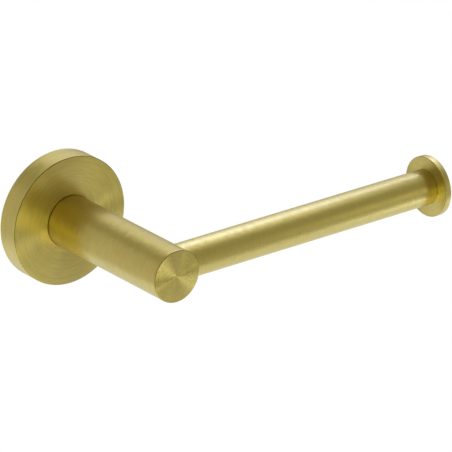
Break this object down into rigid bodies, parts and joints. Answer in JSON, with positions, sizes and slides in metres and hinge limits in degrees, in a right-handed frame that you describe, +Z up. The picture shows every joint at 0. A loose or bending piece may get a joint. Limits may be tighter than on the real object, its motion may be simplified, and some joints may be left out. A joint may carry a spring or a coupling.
{
  "type": "toilet paper holder",
  "caption": "Wall-mounted open-ended toilet paper holder: round flange, round post and a round bar with an end disc, in brushed gold metal.",
  "frame": {"origin": "where the post's axis meets the wall, on the back face of the wall bracket", "axes": "+Z up, +X along the bar towards its open end, +Y into the wall"},
  "size_m": [0.1675, 0.0828, 0.055],
  "materials": {
    "brushed_gold_cover": "brushed in circles, satin, gold coloured coat",
    "brushed_gold_post": "brushed around its axis, satin, gold coloured coat",
    "brushed_gold_bar": "brushed around its axis, satin, gold coloured coat",
    "plated_bracket": "steel, zinc plated, satin",
    "steel_plugs": "turned",
    "steel_fasteners": "plain stainless"
  },
  "bodies": {
    "holder": {"wall_bracket": "plated_bracket", "flange_cover": "brushed_gold_cover", "post_tube": "brushed_gold_post", "post_root_plug": "steel_plugs", "post_screw": "steel_fasteners", "post_lock_washer": "steel_fasteners", "post_locating_pin": "steel_fasteners", "post_end_cap": "brushed_gold_cover", "bar_anchor_block": "steel_plugs", "bar_stud": "steel_fasteners", "bar_root_plug": "steel_plugs", "bar_tube": "brushed_gold_bar", "bar_end_plug": "steel_plugs", "disc_stud": "steel_fasteners", "end_disc": "brushed_gold_cover"},
    "set_screw_body": {"set_screw": "steel_fasteners"}
  },
  "joints": [
    {"name": "set_screw_travel", "type": "slide", "parent": "holder", "child": "set_screw_body", "axis": [0, 0, -1], "range_m": [0, 0.003]}
  ]
}
